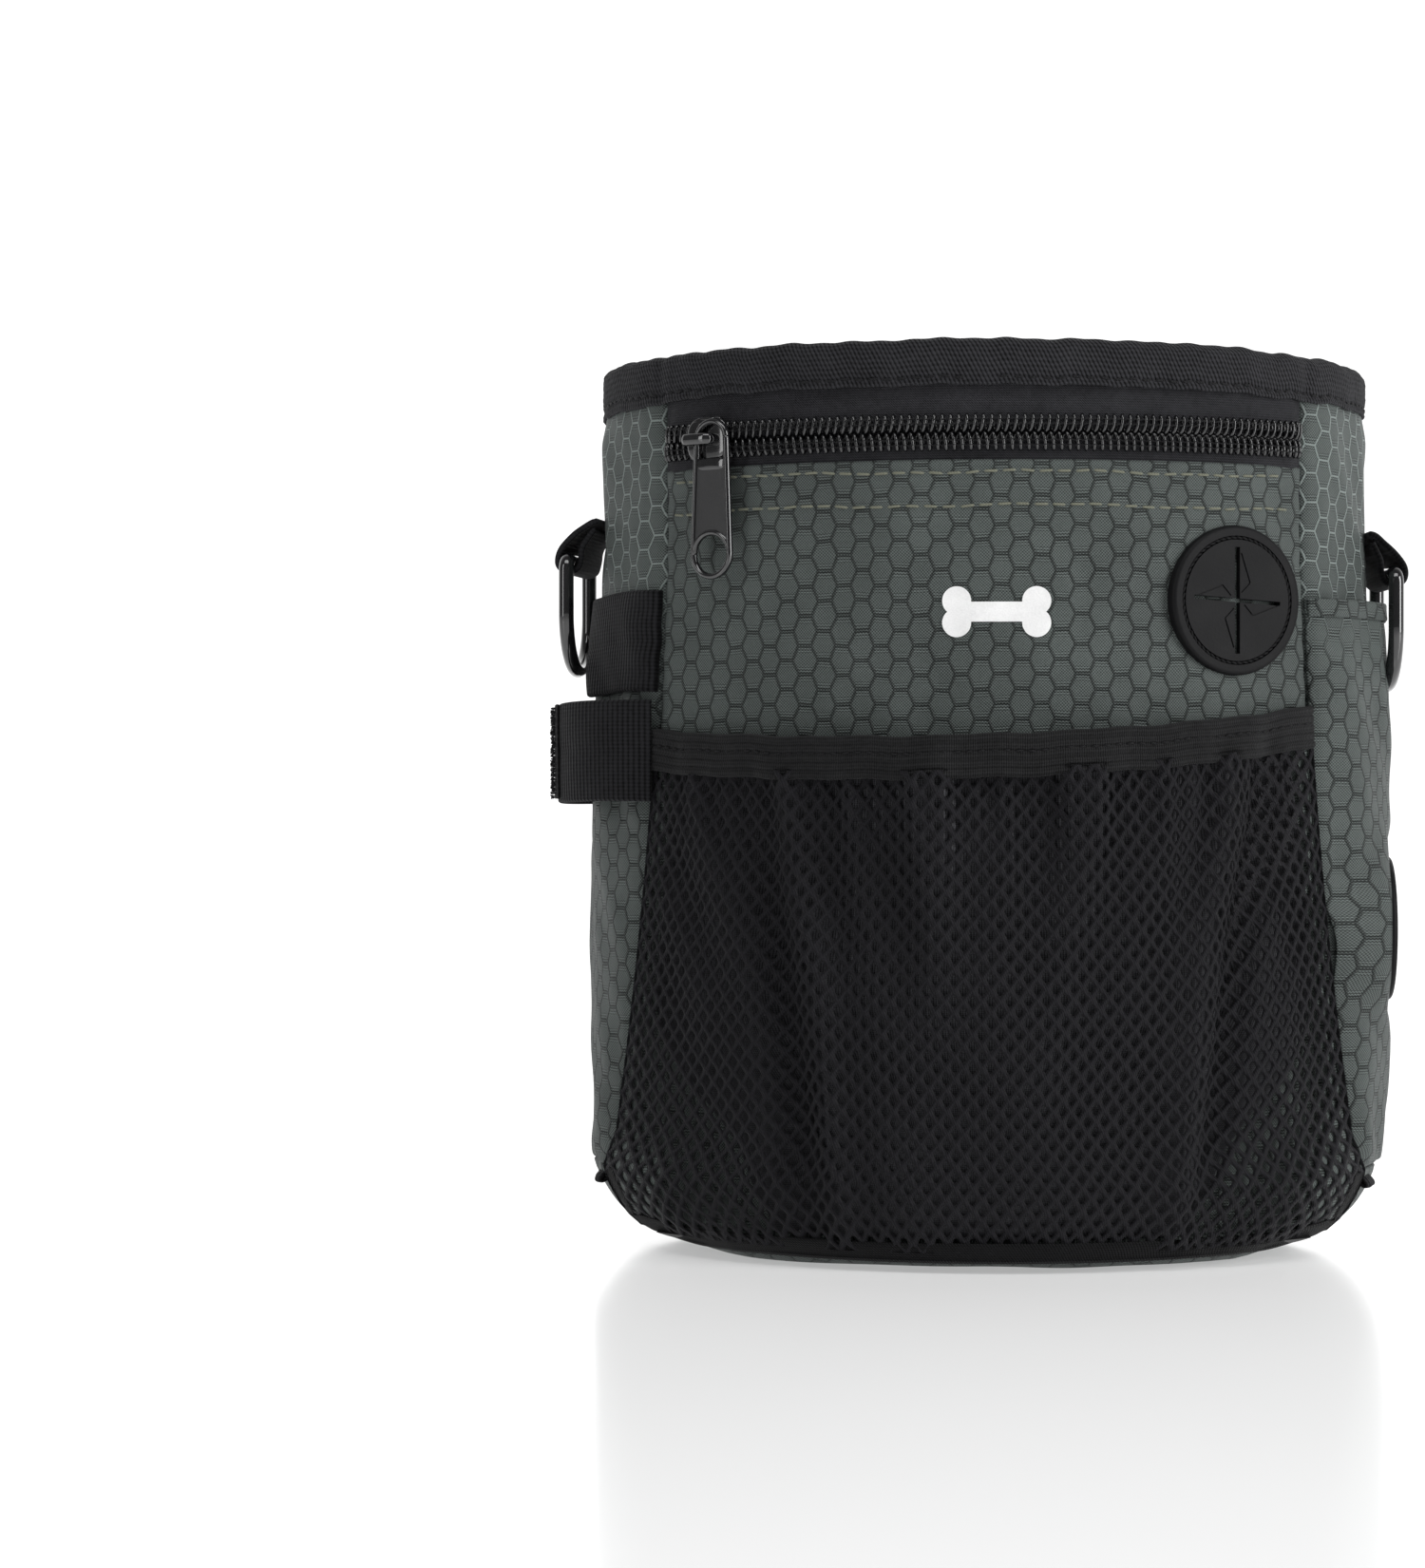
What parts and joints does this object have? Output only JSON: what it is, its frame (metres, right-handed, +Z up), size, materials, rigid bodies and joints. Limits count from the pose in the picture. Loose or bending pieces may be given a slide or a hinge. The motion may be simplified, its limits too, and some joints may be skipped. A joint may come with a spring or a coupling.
{
  "type": "treat pouch",
  "caption": "Soft zip-front treat pouch with an open mouth, net pocket, rubber ports, side pocket, straps, D-rings and a belt clip.",
  "frame": {"origin": "on the floor, under the middle of the base", "axes": "+Z up, the zip and the net pocket face -Y, the belt clip faces +Y, +X to the right seen from the front"},
  "size_m": [0.1816, 0.0959, 0.188],
  "materials": {
    "ripstop": "dark grey-green coated hexagon ripstop",
    "lining": "plain black taffeta",
    "webbing": "black ribbed polyester webbing",
    "net": "black diamond-hole net",
    "hook_fabric": "hook tape",
    "foam": "closed-cell foam",
    "board": "plain sheet",
    "spring_steel": "plain",
    "magnet": "flexible magnet strip",
    "coil": "glossy nylon",
    "gloss_metal": "gloss black",
    "puller_metal": "satin black with a grained field",
    "port_rubber": "matt black rubber",
    "clip_plastic": "black acetal",
    "print_white": "white transfer print"
  },
  "bodies": {
    "bag": {"front_panel": "ripstop", "zip_pocket_back": "lining", "left_gusset": "ripstop", "right_gusset": "ripstop", "back_panel": "ripstop", "bottom_panel": "ripstop", "base_board": "board", "back_foam": "foam", "lining_bag": "lining", "rim_binding": "webbing", "rim_stay_front": "spring_steel", "rim_stay_back": "spring_steel", "mouth_magnet_front": "magnet", "mouth_magnet_back": "magnet", "bottom_seam_tabs": "ripstop", "zipper_tape_upper": "webbing", "zipper_tape_lower": "webbing", "zipper_coil_upper": "coil", "zipper_coil_lower": "coil", "front_port": "port_rubber", "side_port": "port_rubber", "mesh_pocket": "net", "mesh_elastic_band": "webbing", "mesh_bottom_hem": "webbing", "side_pocket_panel": "ripstop", "side_pocket_hem": "ripstop", "left_strap_upper": "webbing", "left_strap_lower": "webbing", "left_strap_hook_patch": "hook_fabric", "left_d_ring_tab": "webbing", "right_d_ring_tab": "webbing", "clip_webbing": "webbing", "clip_plate": "clip_plastic", "bone_print": "print_white"},
    "slider": {"zipper_slider": "gloss_metal"},
    "puller": {"zipper_puller": "puller_metal"},
    "left_ring": {"left_d_ring": "gloss_metal"},
    "right_ring": {"right_d_ring": "gloss_metal"},
    "clip_spring": {"clip_tongue": "clip_plastic"}
  },
  "joints": [
    {"name": "zipper_travel", "type": "hinge", "parent": "bag", "child": "slider", "pos_m": [0, 0.067, 0.1685], "axis": [0, 0, 1], "range_deg": [0, 66]},
    {"name": "puller_swing", "type": "hinge", "parent": "slider", "child": "puller", "pos_m": [-0.05313, -0.02243, 0.1685], "axis": [-0.5288, -0.8487, 0], "range_deg": [-20, 115]},
    {"name": "left_d_ring_swing", "type": "hinge", "parent": "bag", "child": "left_ring", "pos_m": [-0.0873, 0.02, 0.146], "axis": [0.1045, 0.9945, 0], "range_deg": [0, 115]},
    {"name": "right_d_ring_swing", "type": "hinge", "parent": "bag", "child": "right_ring", "pos_m": [0.0862, 0.02, 0.1425], "axis": [0.0698, -0.9976, 0], "range_deg": [0, 115]},
    {"name": "clip_flex", "type": "hinge", "parent": "bag", "child": "clip_spring", "pos_m": [0, 0.03988, 0.14085], "axis": [1, 0, 0], "range_deg": [0, 8], "stiffness_Nm_per_rad": 6}
  ]
}
